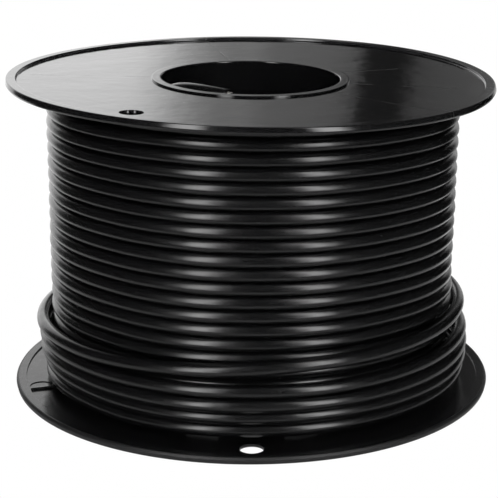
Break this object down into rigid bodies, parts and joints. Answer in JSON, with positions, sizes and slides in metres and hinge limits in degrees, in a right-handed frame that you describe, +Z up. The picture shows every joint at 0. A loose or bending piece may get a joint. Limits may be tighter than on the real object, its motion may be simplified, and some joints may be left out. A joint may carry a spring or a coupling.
{
  "type": "wire spool",
  "caption": "Round cable reel with two flanges snapped into a hollow barrel, wound with black single-core cable, its inner tail in the bore.",
  "frame": {"origin": "middle of the lower flange's standing face, on the barrel's axis", "axes": "+Z up along the barrel's axis, -Y towards the lower flange's tie hole"},
  "size_m": [0.254, 0.254, 0.1674],
  "materials": {
    "moulded_plastic": "satin black injection-moulded plastic, polished rims",
    "cable_jacket": "glossy black extruded PVC jacket",
    "copper_strands": "fine tinned copper strands, freshly cut"
  },
  "bodies": {
    "root": {"lower_flange": "moulded_plastic", "upper_flange": "moulded_plastic", "barrel": "moulded_plastic", "winding_layer_1": "cable_jacket", "winding_layer_2": "cable_jacket", "winding_layer_3": "cable_jacket", "winding_layer_4": "cable_jacket", "winding_layer_5": "cable_jacket", "winding_layer_6": "cable_jacket", "winding_layer_7": "cable_jacket", "winding_layer_8": "cable_jacket", "winding_layer_9": "cable_jacket", "outer_turns": "cable_jacket", "inner_tail_jacket": "cable_jacket", "inner_tail_conductor": "copper_strands"}
  },
  "joints": []
}
